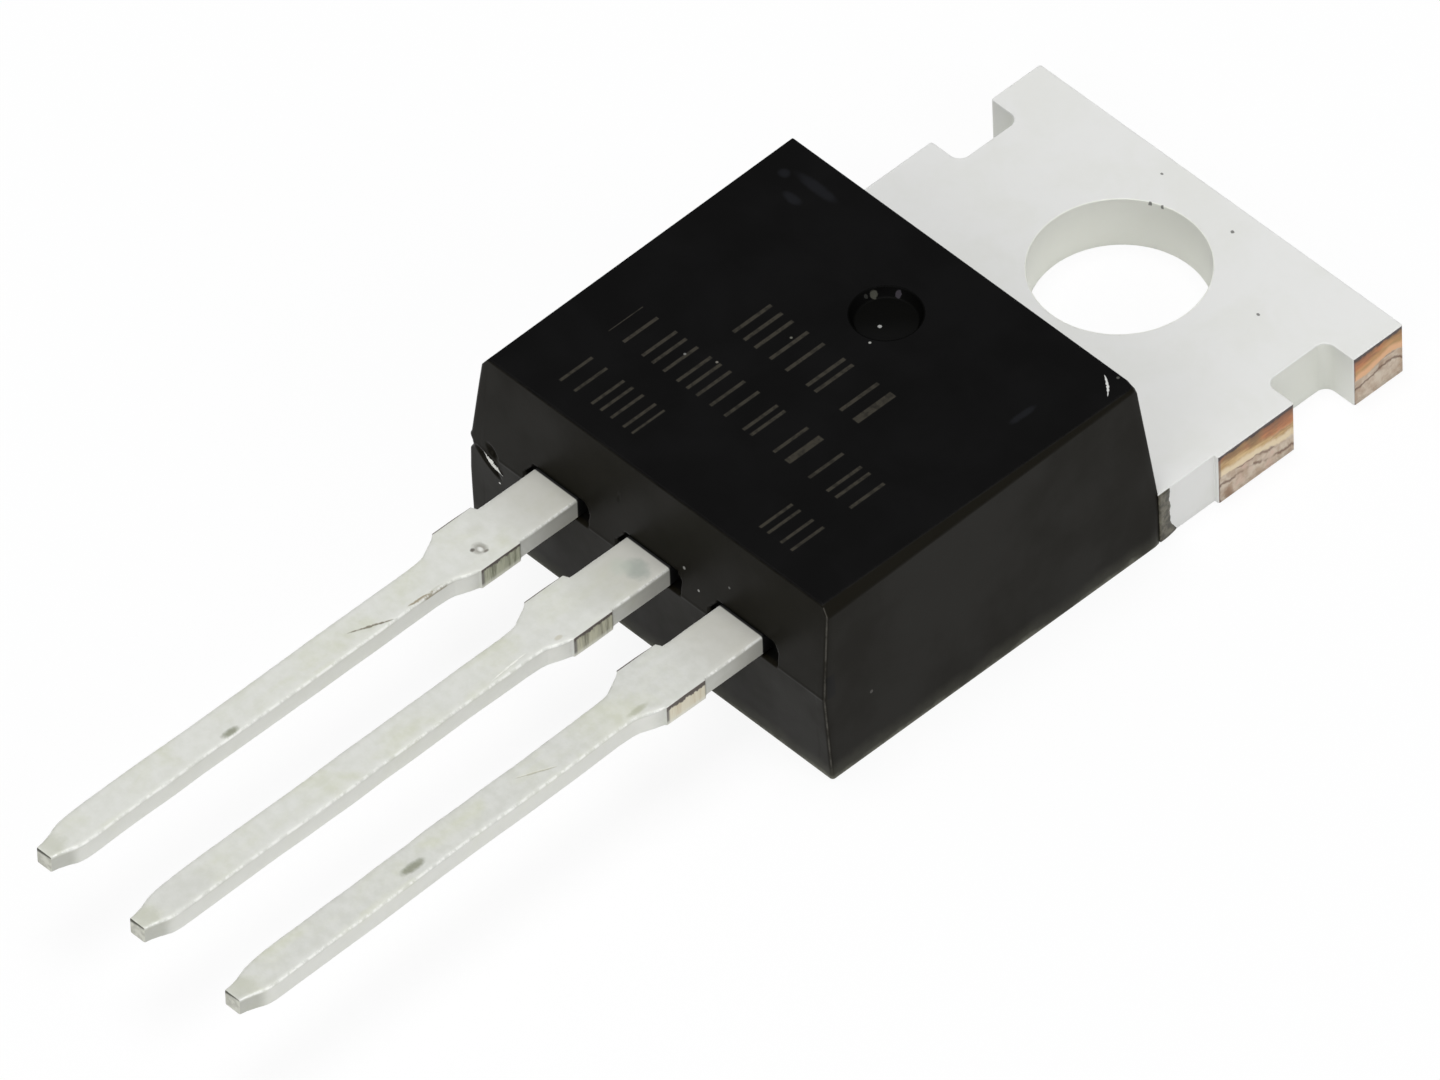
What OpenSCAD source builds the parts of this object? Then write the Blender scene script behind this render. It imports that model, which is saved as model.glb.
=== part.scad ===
// Power transistor: a flat metal tab with a screw hole, a moulded body and three leads in line.
// Millimetres. The origin is the screw hole's axis on the flat back mounting face.
// +Z points out of the marked face and +Y to the tab's end, and the leads run to -Y.
// The tab and the middle lead are one stamping. The two outer leads end in posts inside
// the body, where three wires join them to the silicon chip soldered to the tab plate.

/* [Mounting tab] */
// Width across the tab
tab_w = 9.96; // [9.7:0.02:10.3]
// Thickness of the tab plate
tab_t = 1.27; // [1.15:0.01:1.4]
// Screw hole diameter
hole_d = 3.6; // [3.4:0.05:3.9]
// Screw hole's centre to the tab's end
hole_to_end = 2.73; // [2.5:0.01:3]
// Screw hole's centre to the body's rear face
hole_to_body = 3.7; // [3.4:0.05:4.2]
// Screw hole's centre to the near edge of each side notch
notch_start = 1.4; // [1.2:0.05:1.6]
// Length of each side notch along the tab
notch_l = 1.6; // [1.2:0.05:2]
// Depth of each side notch
notch_d = 0.78; // [0.5:0.02:1]
// Radius in the inner corners of each side notch
notch_r = 0.24; // [0.1:0.02:0.5]
// Step back of the plated sides beside the body
side_step = 0.11; // [0.06:0.01:0.16]
// Length of the cut sides between the notch and that step
cut_side_l = 2.04; // [1.6:0.02:2.1]

/* [Tab plate inside the body] */
// Thickness of the resin that wraps each side of the plate
wrap = 0.89; // [0.7:0.01:1.2]
// Length of the plate inside the body
plate_l = 5.95; // [5.6:0.05:6.2]

/* [Moulded body] */
// How much narrower the body's foot is than the tab
body_step = 0.08; // [0:0.01:0.1]
// Length of the body at its foot
body_l = 8.8; // [8.6:0.05:9.2]
// Thickness of the whole body, from the back face to the marked face
body_t = 4.4; // [4.3:0.05:4.7]
// Lean of the two long sides, in degrees
side_lean = 2.9; // [1:0.1:5]
// Lean of the rear face above the tab, in degrees
rear_lean = 6.5; // [3:0.5:9]
// Lean of the front face above the leads, in degrees
front_lean = 6.7; // [3:0.1:9]
// Lean of the front face below the leads, in degrees
foot_lean = 1; // [0:0.5:4]
// Width of the bevel on the two long top edges, at the front
bevel_w = 0.16; // [0.08:0.02:0.24]
// Width of the same bevel at the rear
bevel_end_w = 0.05; // [0.02:0.01:0.08]
// Slope of the bevel, in degrees
bevel_slope = 57; // [40:1:65]
// Length of the small facets on the lower rear corners
corner_l = 0.16; // [0.1:0.02:0.4]

/* [Mould marks] */
// Diameter of the round pin mark in the marked face
pin_mark_d = 1.42; // [1.2:0.02:1.8]
// Depth of the pin mark
pin_mark_deep = 0.14; // [0.08:0.02:0.2]
// Screw hole's centre to the pin mark's centre
hole_to_pin_mark = 6.06; // [5.4:0.02:6.6]
// Diameter of the broken gate scar on the front face
scar_d = 0.6; // [0.4:0.02:0.8]
// Depth of the gate scar
scar_deep = 0.1; // [0.06:0.02:0.24]
// Body's side to the middle of the gate scar
scar_in = 0.5; // [0.46:0.02:0.7]
// Height of the gate scar above the back face
scar_z = 1.95; // [1.4:0.05:2.1]
// Width of the recess left beside each lead's root
root_gap = 0.28; // [0.1:0.02:0.4]
// Depth of the recess round each lead's root
root_deep = 0.24; // [0.08:0.02:0.3]

/* [Leads] */
// Distance between neighbouring leads
pitch = 2.54;
// Thickness of the leads
lead_t = 0.5; // [0.4:0.02:0.6]
// Height of the leads' lower face above the back face
lead_z = 2.15; // [2:0.05:2.3]
// Length of the leads from the body to the tips
lead_l = 13.35; // [12.6:0.05:14]
// Width of the wide part next to the body
wide_w = 1.2; // [1.1:0.02:1.3]
// Width of the narrow part
narrow_w = 0.82; // [0.7:0.02:0.9]
// Body to the start of the cut tie-bar stub
stub_start = 1.5; // [1.3:0.05:1.7]
// Length of the cut tie-bar stub
stub_l = 1; // [0.8:0.05:1.2]
// How far the stub stands out of the left edge
stub_left = 0.14; // [0.06:0.02:0.2]
// How far the stub stands out of the right edge
stub_right = 0.05; // [0.02:0.01:0.1]
// Length of the neck from wide to narrow
neck_l = 0.62; // [0.4:0.02:0.8]
// Size of the soft edges along the leads
edge = 0.07; // [0.03:0.01:0.1]
// Length of the pinched tip
tip_l = 0.72; // [0.5:0.02:0.9]
// Width of the tip's cut end
tip_w = 0.34; // [0.24:0.02:0.44]
// Thickness of the tip's cut end
tip_t = 0.28; // [0.2:0.02:0.36]

/* [Inside the body] */
// Width of each outer lead's post
post_w = 2.3; // [2:0.1:2.4]
// Length of each post
post_l = 1.45; // [1.3:0.05:1.6]
// Front face to the start of each post
post_start = 0.5; // [0.4:0.05:0.6]
// Silicon chip width
chip_w = 5; // [4.8:0.1:6]
// Silicon chip length
chip_l = 3.8; // [3.4:0.1:4.4]
// Silicon chip thickness
chip_t = 0.25; // [0.18:0.01:0.3]
// Solder thickness under the chip
solder_t = 0.08; // [0.05:0.01:0.12]
// Plate's inner end to the chip
chip_set = 0.6; // [0.4:0.05:0.8]
// Diameter of the two thick wires
thick_wire_d = 0.38; // [0.3:0.02:0.42]
// Diameter of the thin control wire
thin_wire_d = 0.15; // [0.12:0.01:0.2]
// Spacing of the two thick wires
wire_gap = 0.55; // [0.46:0.01:0.58]
// Height of the wires' straight tops above the posts
loop_rise = 0.72; // [0.66:0.02:0.8]
// Bend radius of the wires
bend_r = 0.42; // [0.36:0.02:0.46]

/* [Hidden] */
front = -(hole_to_body + body_l);      // front face at the leads' lower face
body_w = tab_w - body_step;            // at its foot
plate_w = body_w - 2 * wrap;
plate_end = -(hole_to_body + plate_l); // inner end of the tab plate
lead_top = lead_z + lead_t;
step_x = tab_w / 2 - side_step;
notch_end = notch_start - notch_l;
stub_end = stub_start + stub_l;
neck_end = stub_end + neck_l;
post_x = pitch + 0.22;                 // middle of each post
post_y = front + post_start + post_l;  // inner edge of the posts
wire_x = post_x - post_w / 2 + 0.32;   // first wire, over both the chip and a post
chip_y = plate_end + chip_set;
solder_rim = 0.1;                      // solder round the chip
chip_top = tab_t + solder_t + chip_t;
loop_z = lead_top + loop_rise;
foot_set = 0.75;                       // wire feet from the edges they stand by
over = 1;                              // how far cutting shapes run past the body
curve = 64;                            // sides of the round shapes
small_curve = 24;
wire_sides = 12;

mould_black = "#141416";
tin = "#d6d6d2";
silicon = "#5b5f6b";
solder = "#9c9ca0";
aluminium = "#c9ccd1";

// Outline in X and Y, raised between two heights
module plan(z, t) {
  translate([0, 0, z]) linear_extrude(t) children();
}

// Outline in Y and Z, drawn across a width centred on X = 0
module side_view(w) {
  rotate([90, 0, 90]) translate([0, 0, -w / 2]) linear_extrude(w) children();
}

// Outline in X and Z, drawn along Y from y0 to y1
module front_view(y0, y1) {
  translate([0, y1, 0]) rotate([90, 0, 0]) linear_extrude(y1 - y0) children();
}

module both_sides() {
  children();
  mirror([1, 0, 0]) children();
}

// Side notch with round inner corners, as a plan outline on the +X side
module notch_outline() {
  x = tab_w / 2 - notch_d;
  difference() {
    translate([x, notch_end]) square([notch_d + over, notch_l]);
    for (y = [notch_end, notch_start - notch_r])
      translate([x, y]) square(notch_r);
  }
  for (y = [notch_end + notch_r, notch_start - notch_r])
    translate([x + notch_r, y]) circle(notch_r, $fn = small_curve);
}

module tab_outline() {
  difference() {
    union() {
      translate([-tab_w / 2, notch_end - cut_side_l])
        square([tab_w, hole_to_end - notch_end + cut_side_l]);
      translate([-step_x, -hole_to_body]) square([2 * step_x, hole_to_body]);
      translate([-plate_w / 2, plate_end]) square([plate_w, plate_l]);
    }
    both_sides() notch_outline();
    circle(d = hole_d, $fn = curve);
  }
}

// Straight length of lead with soft edges, between two distances from the front face
module lead_bar(w, from, to) {
  a = w / 2;
  b = lead_t / 2;
  translate([0, 0, lead_z + b]) front_view(front - to, front - from)
    polygon([[edge - a, -b], [a - edge, -b], [a, edge - b], [a, b - edge],
             [a - edge, b], [edge - a, b], [-a, b - edge], [-a, edge - b]]);
}

// Tip pinched on all four sides
module lead_tip() {
  a = narrow_w / 2;
  m = lead_z + lead_t / 2;
  s = lead_l - tip_l;
  q = tip_l / 2;
  intersection() {
    plan(lead_z, lead_t) translate([0, front]) mirror([0, 1])
      polygon([[-a, s], [-0.86 * a, s + q * 0.5], [-0.62 * a, s + q], [-tip_w / 2, lead_l],
               [tip_w / 2, lead_l], [0.62 * a, s + q], [0.86 * a, s + q * 0.5], [a, s]]);
    side_view(narrow_w) translate([front, m]) mirror([1, 0])
      polygon([[s, -lead_t / 2], [s + q, -lead_t / 2], [lead_l, -tip_t / 2],
               [lead_l, tip_t / 2], [s + q, lead_t / 2], [s, lead_t / 2]]);
  }
}

// Everything of one lead outside the body, and its root from the given depth inside
module outer_lead(inside) {
  a = wide_w / 2;
  n = narrow_w / 2;
  lead_bar(wide_w, -inside, stub_end);
  plan(lead_z, lead_t) translate([0, front]) mirror([0, 1]) {
    polygon([[-a - stub_left, stub_start], [a + stub_right, stub_start],
             [a + stub_right, stub_end], [-a - stub_left, stub_end]]);
    polygon([[-a, stub_end], [a, stub_end], [a - 0.04, stub_end + neck_l * 0.3],
             [n + 0.06, stub_end + neck_l * 0.8], [n, neck_end],
             [-n, neck_end], [-n - 0.06, stub_end + neck_l * 0.8],
             [0.04 - a, stub_end + neck_l * 0.3]]);
  }
  lead_bar(narrow_w, neck_end, lead_l - tip_l);
  lead_tip();
}

// Outer lead with its post, on the +X side; the stub keeps its left and right
module side_lead(side) {
  translate([side * pitch, 0, 0]) outer_lead(post_start);
  plan(lead_z, lead_t)
    translate([side * post_x - post_w / 2, front + post_start]) square([post_w, post_l]);
}

module drain_tab_and_lead() {
  rise = lead_top - tab_t;
  thick = lead_t * sqrt(2);
  drop = lead_z - tab_t + thick;
  color(tin) {
    plan(0, tab_t) tab_outline();
    side_view(wide_w)
      polygon([[plate_end, tab_t - thick], [plate_end, tab_t], [plate_end - rise, lead_top],
               [plate_end - drop, lead_top], [plate_end - drop, lead_z]]);
    outer_lead(plate_end - drop - front);
  }
}

module gate_lead() {
  color(tin) side_lead(-1);
}

module source_lead() {
  color(tin) side_lead(1);
}

module chip_solder() {
  color(solder) plan(tab_t, solder_t)
    translate([-chip_w / 2 - solder_rim, chip_y - solder_rim])
      square([chip_w + 2 * solder_rim, chip_l + 2 * solder_rim]);
}

module silicon_chip() {
  color(silicon) plan(tab_t + solder_t, chip_t)
    translate([-chip_w / 2, chip_y]) square([chip_w, chip_l]);
}

// Wire that stands on the chip, turns, runs level and comes down on a post
module bond_wire(x, d) {
  y_chip = chip_y + foot_set;
  y_post = post_y - foot_set;
  color(aluminium) translate([x, 0, 0]) {
    translate([0, y_chip, chip_top]) cylinder(loop_z - bend_r - chip_top, d = d, $fn = wire_sides);
    translate([0, y_post, lead_top]) cylinder(loop_z - bend_r - lead_top, d = d, $fn = wire_sides);
    translate([0, y_chip - bend_r, loop_z]) rotate([90, 0, 0])
      cylinder(y_chip - y_post - 2 * bend_r, d = d, $fn = wire_sides);
    for (end = [[y_chip - bend_r, 0], [y_post + bend_r, 90]])
      translate([0, end[0], loop_z - bend_r]) rotate([90, 0, 90]) rotate([0, 0, end[1]])
        rotate_extrude(angle = 90, $fn = curve) translate([bend_r, 0]) circle(d = d, $fn = wire_sides);
  }
}

module gate_wire() {
  bond_wire(-wire_x, thin_wire_d);
}

module source_wire_1() {
  bond_wire(wire_x, thick_wire_d);
}

module source_wire_2() {
  bond_wire(wire_x + wire_gap, thick_wire_d);
}

// Body before its marks and its contents are cut out: two outlines crossed
module body_blank() {
  lean_y = (body_t - lead_z) * tan(front_lean);
  foot_y = lead_z * tan(foot_lean);
  rear_y = (body_t - tab_t) * tan(rear_lean);
  lean_x = body_t * tan(side_lean);
  intersection() {
    side_view(body_w + over)
      polygon([[front + foot_y, 0], [-hole_to_body, 0], [-hole_to_body, tab_t],
               [-hole_to_body - rear_y, body_t], [front + lean_y, body_t], [front, lead_z]]);
    front_view(front - over, over - hole_to_body)
      polygon([[-body_w / 2, 0], [body_w / 2, 0],
               [body_w / 2 - lean_x, body_t], [lean_x - body_w / 2, body_t]]);
  }
}

// Bevel that narrows to the rear, along one long top edge
module bevel_cut() {
  top_x = body_w / 2 - body_t * tan(side_lean);
  top_l = body_l - (body_t - lead_z) * tan(front_lean) - (body_t - tab_t) * tan(rear_lean);
  turn = atan((bevel_w - bevel_end_w) / top_l);
  translate([top_x - bevel_w, front + body_l - (body_t - tab_t) * tan(rear_lean) - top_l, body_t])
    rotate([0, 0, -turn]) rotate([0, bevel_slope, 0])
      translate([0, -over, 0]) cube([over, body_l + 2 * over, over]);
}

// Small upright facet on one lower rear corner, meeting the tab's stepped side
module corner_cut() {
  turn = atan((body_w / 2 - step_x) / corner_l);
  translate([step_x, -hole_to_body, 0]) rotate([0, 0, turn])
    translate([0, -corner_l * 2, -over]) cube([over, corner_l * 4, over + tab_t]);
}

module mould_marks() {
  translate([0, -hole_to_pin_mark, body_t - pin_mark_deep])
    cylinder(over, d = pin_mark_d, $fn = curve);
  translate([scar_in - body_w / 2, front + scar_deep, scar_z]) rotate([90, 0, 0])
    cylinder(over, d = scar_d, $fn = curve);
  for (i = [-1:1])
    translate([i * pitch - wide_w / 2 - root_gap / 2, front - over, lead_z])
      cube([wide_w + root_gap * 1.5, over + root_deep, lead_t + root_gap / 4]);
}

module mould_body() {
  color(mould_black) difference() {
    body_blank();
    both_sides() {
      bevel_cut();
      corner_cut();
    }
    mould_marks();
    drain_tab_and_lead();
    gate_lead();
    source_lead();
    chip_solder();
    silicon_chip();
    gate_wire();
    source_wire_1();
    source_wire_2();
  }
}

mould_body();
drain_tab_and_lead();
gate_lead();
source_lead();
silicon_chip();
chip_solder();
gate_wire();
source_wire_1();
source_wire_2();
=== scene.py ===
"""Dresses the power transistor: matte tin on copper, a satin black moulded body, and a pale table."""

import math

import bmesh
import bpy
import numpy as np
from mathutils import Matrix, Vector
from mathutils.geometry import delaunay_2d_cdt


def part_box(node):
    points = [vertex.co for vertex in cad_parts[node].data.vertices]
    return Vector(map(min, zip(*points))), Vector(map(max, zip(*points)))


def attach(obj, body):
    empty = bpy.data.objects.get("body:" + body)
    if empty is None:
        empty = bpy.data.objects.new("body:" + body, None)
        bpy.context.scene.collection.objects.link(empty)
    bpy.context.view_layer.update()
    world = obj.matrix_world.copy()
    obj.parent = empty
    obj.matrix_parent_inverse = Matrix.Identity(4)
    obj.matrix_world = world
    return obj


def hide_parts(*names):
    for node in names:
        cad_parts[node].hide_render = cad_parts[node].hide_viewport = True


bl_info = {
    "name": "Power Transistor Dressing",
    "version": (1, 0, 0),
    "blender": (4, 5, 0),
    "location": "View3D > Sidebar > Transistor",
    "description": "Finishes, marks and stage for a moulded transistor with a screw-down tab",
    "category": "Object",
}

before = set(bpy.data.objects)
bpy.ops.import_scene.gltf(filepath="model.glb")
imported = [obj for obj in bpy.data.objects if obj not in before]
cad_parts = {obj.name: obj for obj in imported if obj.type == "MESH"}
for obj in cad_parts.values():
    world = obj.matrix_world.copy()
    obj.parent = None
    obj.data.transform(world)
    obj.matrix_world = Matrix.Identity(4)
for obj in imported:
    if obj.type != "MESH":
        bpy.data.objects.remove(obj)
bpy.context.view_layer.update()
MM = 0.001
LEADS = {"gate_lead": -2.54, "drain_tab_and_lead": 0.0, "source_lead": 2.54}
MIDDLE_LEAD = "drain_tab_and_lead"


def box_mm(node):
    """Lowest and highest corners of a CAD node in millimetres."""
    return [[round(c / MM, 4) for c in corner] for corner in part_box(node)]


# In millimetres. FOOT is half the width of the body's foot and SIDE the furthest that its left side
# may reach. PARTING is the parting line's height, where the leads' lower faces lie.
TOP = box_mm("mould_body")[1][2]
TAB_SIDE, TAB_END, _ = box_mm(MIDDLE_LEAD)[1]
FRONT, REAR, FOOT, SIDE = -12.5, -3.7, 4.94, 4.975
PARTING, LEAD_TOP, PLATE = 2.15, 2.65, 1.27
HOLE_RADIUS = 1.8
# The tab's narrower stretch ends at STEP_BACK, and its side notches run from front to back.
STEP_SIDE, STEP_BACK = 4.87, -2.24
NOTCH_SIDE, NOTCH_FRONT, NOTCH_BACK = 4.2, -0.2, 1.4
TIP, STUB_FRONT, STUB_BACK = -25.85, -15.03, -13.99
PIN_X, PIN_Y, PIN_DEPTH, PIN_POINTS = -0.065, -6.06, 0.135, 96
# Steps along the body's rear, left, front and right sides, and the points of each rounded corner.
BODY_RUNS, BODY_ARC = (50, 60, 330, 70), 6


def lean(degrees):
    """How far a wall that leans by an angle moves in for each millimetre of height."""
    return math.tan(math.radians(degrees))


def wave(along, seed, size, waves=7):
    """Slow uneven wobble: a sum of sines of the distance along, with lengths and phases from the seed."""
    rng = np.random.default_rng(seed)
    pace = rng.uniform(0.6, 5.0, waves)
    phase = rng.uniform(0, 2 * math.pi, waves)
    return size * (np.sin(np.multiply.outer(along, pace) + phase) / pace).sum(-1) / (1 / pace).sum()


def climb(value, start, length):
    """0 up to the start, then straight up to 1 over the length, which may be negative."""
    return np.clip((value - start) / length, 0, 1)


def strip(rows, cols, start=0):
    """Four-sided faces of a grid of points that is closed across its columns."""
    index = np.arange(rows * cols).reshape(rows, cols) + start
    after = np.roll(index, -1, axis=1)
    return np.stack((index[:-1], after[:-1], after[1:], index[1:]), axis=-1).reshape(-1, 4)


def fan(ring, centre):
    """Three-sided faces from one ring of point numbers to a middle point."""
    return np.stack((np.roll(ring, -1), ring, np.full(len(ring), centre)), axis=-1)


def build(name, shells, replaces=None):
    """One piece from closed shells, each its points in millimetres, its groups of faces, for each group
    the number of its material, and how far each point lies on an edge that is painted bright, for wear
    and as a painted highlight. The three-sided faces, which fill level ones, are shaded flat. Doubled
    points are merged and faces turned outwards."""
    points, faces, kinds, smooth, wear_and_highlight, start = [], [], [], [], [], 0
    for shell_points, groups, numbers, edge in shells:
        points.append(shell_points)
        wear_and_highlight.append(edge)
        for group, number in zip(groups, numbers):
            faces += (group + start).tolist()
            kinds.append(np.full(len(group), number, np.int32))
            smooth.append(np.full(len(group), group.shape[1] == 4))
        start += len(shell_points)
    mesh = bpy.data.meshes.new(name)
    mesh.from_pydata((np.concatenate(points) * MM).tolist(), [], faces)
    mesh.polygons.foreach_set("material_index", np.concatenate(kinds))
    mesh.polygons.foreach_set("use_smooth", np.concatenate(smooth))
    mesh.attributes.new("edge_wear_and_highlight", "FLOAT", "POINT").data.foreach_set("value", np.concatenate(wear_and_highlight))
    solid = bmesh.new()
    solid.from_mesh(mesh)
    bmesh.ops.remove_doubles(solid, verts=solid.verts, dist=1e-7)
    bmesh.ops.recalc_face_normals(solid, faces=solid.faces)
    solid.to_mesh(mesh)
    solid.free()
    piece = bpy.data.objects.new(name, mesh)
    bpy.context.scene.collection.objects.link(piece)
    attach(piece, "root")
    if replaces:
        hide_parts(replaces)
    return piece


def rounded_rows(left, right, low, high, radius, arc=5, runs=(10, 10, 10, 10)):
    """Closed rows in a plane. Each is a rectangle with a quarter circle of the row's radius in each
    corner; its straight runs, high, left, low and right in turn, are split into the given steps."""
    corners = ((right - radius, high - radius), (left + radius, high - radius),
               (left + radius, low + radius), (right - radius, low + radius))
    loops = []
    for quarter, (x, z) in enumerate(corners):
        angle = np.linspace(0, math.pi / 2, arc) + quarter * math.pi / 2
        loops.append(np.stack((x[:, None] + radius[:, None] * np.cos(angle),
                               z[:, None] + radius[:, None] * np.sin(angle)), axis=-1))
    parts = []
    for here, there, steps in zip(loops, loops[1:] + loops[:1], runs):
        share = np.linspace(0, 1, steps + 1)[1:-1, None]
        parts += [here, here[:, -1:] * (1 - share) + there[:, :1] * share]
    return np.concatenate(parts, axis=1)


def edge_columns(arc=5, runs=(10, 10, 10, 10)):
    """For the columns of rounded rows: a half sine over each corner's arc, and nothing between."""
    bow = np.sin(np.linspace(0, math.pi, arc))
    return np.concatenate([np.concatenate((bow, np.zeros(steps - 1))) for steps in runs])


def closed_bar(points, shrink=(0.72, 0.4), sink=0.0, wear_and_highlight=0.0):
    """Closes a bar's ends with rings that shrink to a middle point, the far end sunk a little."""
    rings = [points]
    for ring, side in ((points[0], 0), (points[-1], 1)):
        centre = ring.mean(0)
        cap = [centre + (ring - centre) * s + np.array((0, sink * (1 - s) * side, 0)) for s in shrink]
        rings = [*rings, np.stack(cap)] if side else [np.stack(cap)[::-1], *rings]
    grid = np.concatenate(rings)
    rows, cols = grid.shape[:2]
    count, ring = rows * cols, np.arange(cols)
    faces = [strip(rows, cols), fan(ring, count), fan(ring + count - cols, count + 1)]
    edge = np.zeros((rows, cols))
    edge[len(shrink):rows - len(shrink)] = wear_and_highlight
    flat = np.concatenate((grid.reshape(-1, 3), [grid[0].mean(0), grid[-1].mean(0)]))
    return flat, faces, (0, 0, 0), np.append(edge, (0, 0))


def rounded_path(corners, radii, step):
    """Closed outline through corners, each cut by an arc that touches both its sides, then set out
    again at even steps with the arcs' own points kept."""
    corners, radii = np.array(corners, float), np.array(radii, float)
    before, after = np.roll(corners, 1, 0) - corners, np.roll(corners, -1, 0) - corners
    u = before / np.linalg.norm(before, axis=1)[:, None]
    w = after / np.linalg.norm(after, axis=1)[:, None]
    half = np.arccos(np.clip((u * w).sum(1), -1, 1)) / 2
    reach = (radii / np.tan(half))[:, None]
    bisector = u + w
    bisector /= np.linalg.norm(bisector, axis=1)[:, None]
    centre = corners + bisector * (radii / np.sin(half))[:, None]
    first, last = corners + u * reach - centre, corners + w * reach - centre
    turn = np.arctan2(first[:, 0] * last[:, 1] - first[:, 1] * last[:, 0], (first * last).sum(1))
    angle = np.arctan2(first[:, 1], first[:, 0])[:, None] + turn[:, None] * np.linspace(0, 1, 9)
    arcs = centre[:, None] + radii[:, None, None] * np.stack((np.cos(angle), np.sin(angle)), -1)
    path = arcs.reshape(-1, 2)
    closed = np.vstack((path, path[:1]))
    run = np.concatenate(([0], np.cumsum(np.linalg.norm(np.diff(closed, axis=0), axis=1))))
    even = np.arange(0, run[-1], step)
    clear = np.abs(even[:, None] - run[None]).min(1) > 0.3 * step
    kept = np.sort(np.concatenate((run[:-1], even[clear])))
    return np.stack((np.interp(kept, run, closed[:, 0]), np.interp(kept, run, closed[:, 1])), -1)


def outline_side(path):
    """Unit vectors that point out of a counterclockwise outline, from its neighbours' direction."""
    along = np.roll(path, -1, 0) - np.roll(path, 1, 0)
    along /= np.linalg.norm(along, axis=1)[:, None]
    return np.stack((along[:, 1], -along[:, 0]), -1)


def edge_profile(high, roll, rows=16, rim=0.015):
    """Inset and height down a plate's edge: a flat rim, a quarter circle over the top edge, the
    upright side in even steps, a quarter circle under the bottom edge and a flat rim."""
    turn = np.linspace(0, math.pi / 2, 6)
    over, under = 1 - np.sin(turn), 1 - np.cos(turn)
    inset = np.concatenate(([roll + rim], roll * over, np.zeros(rows), roll * under, [roll + rim]))
    side = np.linspace(high - roll, roll, rows + 2)[1:-1]
    height = np.concatenate(([high], high - roll * under, side, roll * over, [0.0]))
    return inset, height


def inside(spots, ring):
    """True where a spot is within an outline: a line to its right crosses the outline oddly often."""
    a, b = ring, np.roll(ring, -1, 0)
    x, y = spots[:, None, 0], spots[:, None, 1]
    span = (a[:, 1] > y) != (b[:, 1] > y)
    rise = np.where(b[:, 1] == a[:, 1], 1.0, b[:, 1] - a[:, 1])
    cross = a[:, 0] + (y - a[:, 1]) * (b[:, 0] - a[:, 0]) / rise
    return (span & (x < cross)).sum(1) % 2 == 1


def fill_flat(points, rings):
    """Triangles of a level face between its outer ring and the rings of its openings. Their middles
    are tested with the short numbers that the triangulation works with, so that no sliver strays."""
    keys = np.concatenate(rings)
    spots = points[keys, :2].astype(np.float32).astype(float)
    edges, start = [], 0
    for ring in rings:
        index = np.arange(len(ring)) + start
        edges += np.stack((index, np.roll(index, -1)), 1).tolist()
        start += len(ring)
    found = delaunay_2d_cdt([Vector(p) for p in spots], edges, [], 0, 1e-7, True)
    back = np.array([ids[0] for ids in found[3]])
    fill = back[np.array(found[2])]
    middle = spots[fill].mean(1)
    keep, start = True, 0
    for ring in rings:
        within = inside(middle, spots[start:start + len(ring)])
        keep = keep & (~within if start else within)
        start += len(ring)
    return keys[fill[keep]]


def plate(outer, hole, high, roll, dent):
    """Flat plate: the outer outline and the hole's circle each carried down their edge profile, with
    dent(points, height) pressed into the sides, and the two flat faces filled between the rims."""
    loops, faces, rims, wear_and_highlight, start = [], [], [], [], 0
    inset, height = edge_profile(high, roll)
    rows = len(height)
    bright = np.interp(height, (high - roll, high - roll / 2, high), (0, 1, 0))
    for path, sign in ((outer, 1.0), (hole, -1.0)):
        side = outline_side(path) * sign
        spot = path[None] - side[None] * inset[:, None, None]
        cols = len(path)
        level = np.repeat(height[:, None], cols, 1)
        sunk = dent(spot, level) * (inset == 0)[:, None]
        spot = spot - side[None] * sunk[..., None]
        loops.append(np.dstack((spot, level)).reshape(-1, 3))
        wear_and_highlight.append(np.repeat(bright, cols))
        faces.append(strip(rows, cols, start))
        rims.append((np.arange(cols) + start, np.arange(cols) + start + (rows - 1) * cols))
        start += rows * cols
    points = np.concatenate(loops)
    faces += [fill_flat(points, rings) for rings in zip(*rims)]
    return points, faces, (0, 0, 0, 0), np.concatenate(wear_and_highlight)


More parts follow.
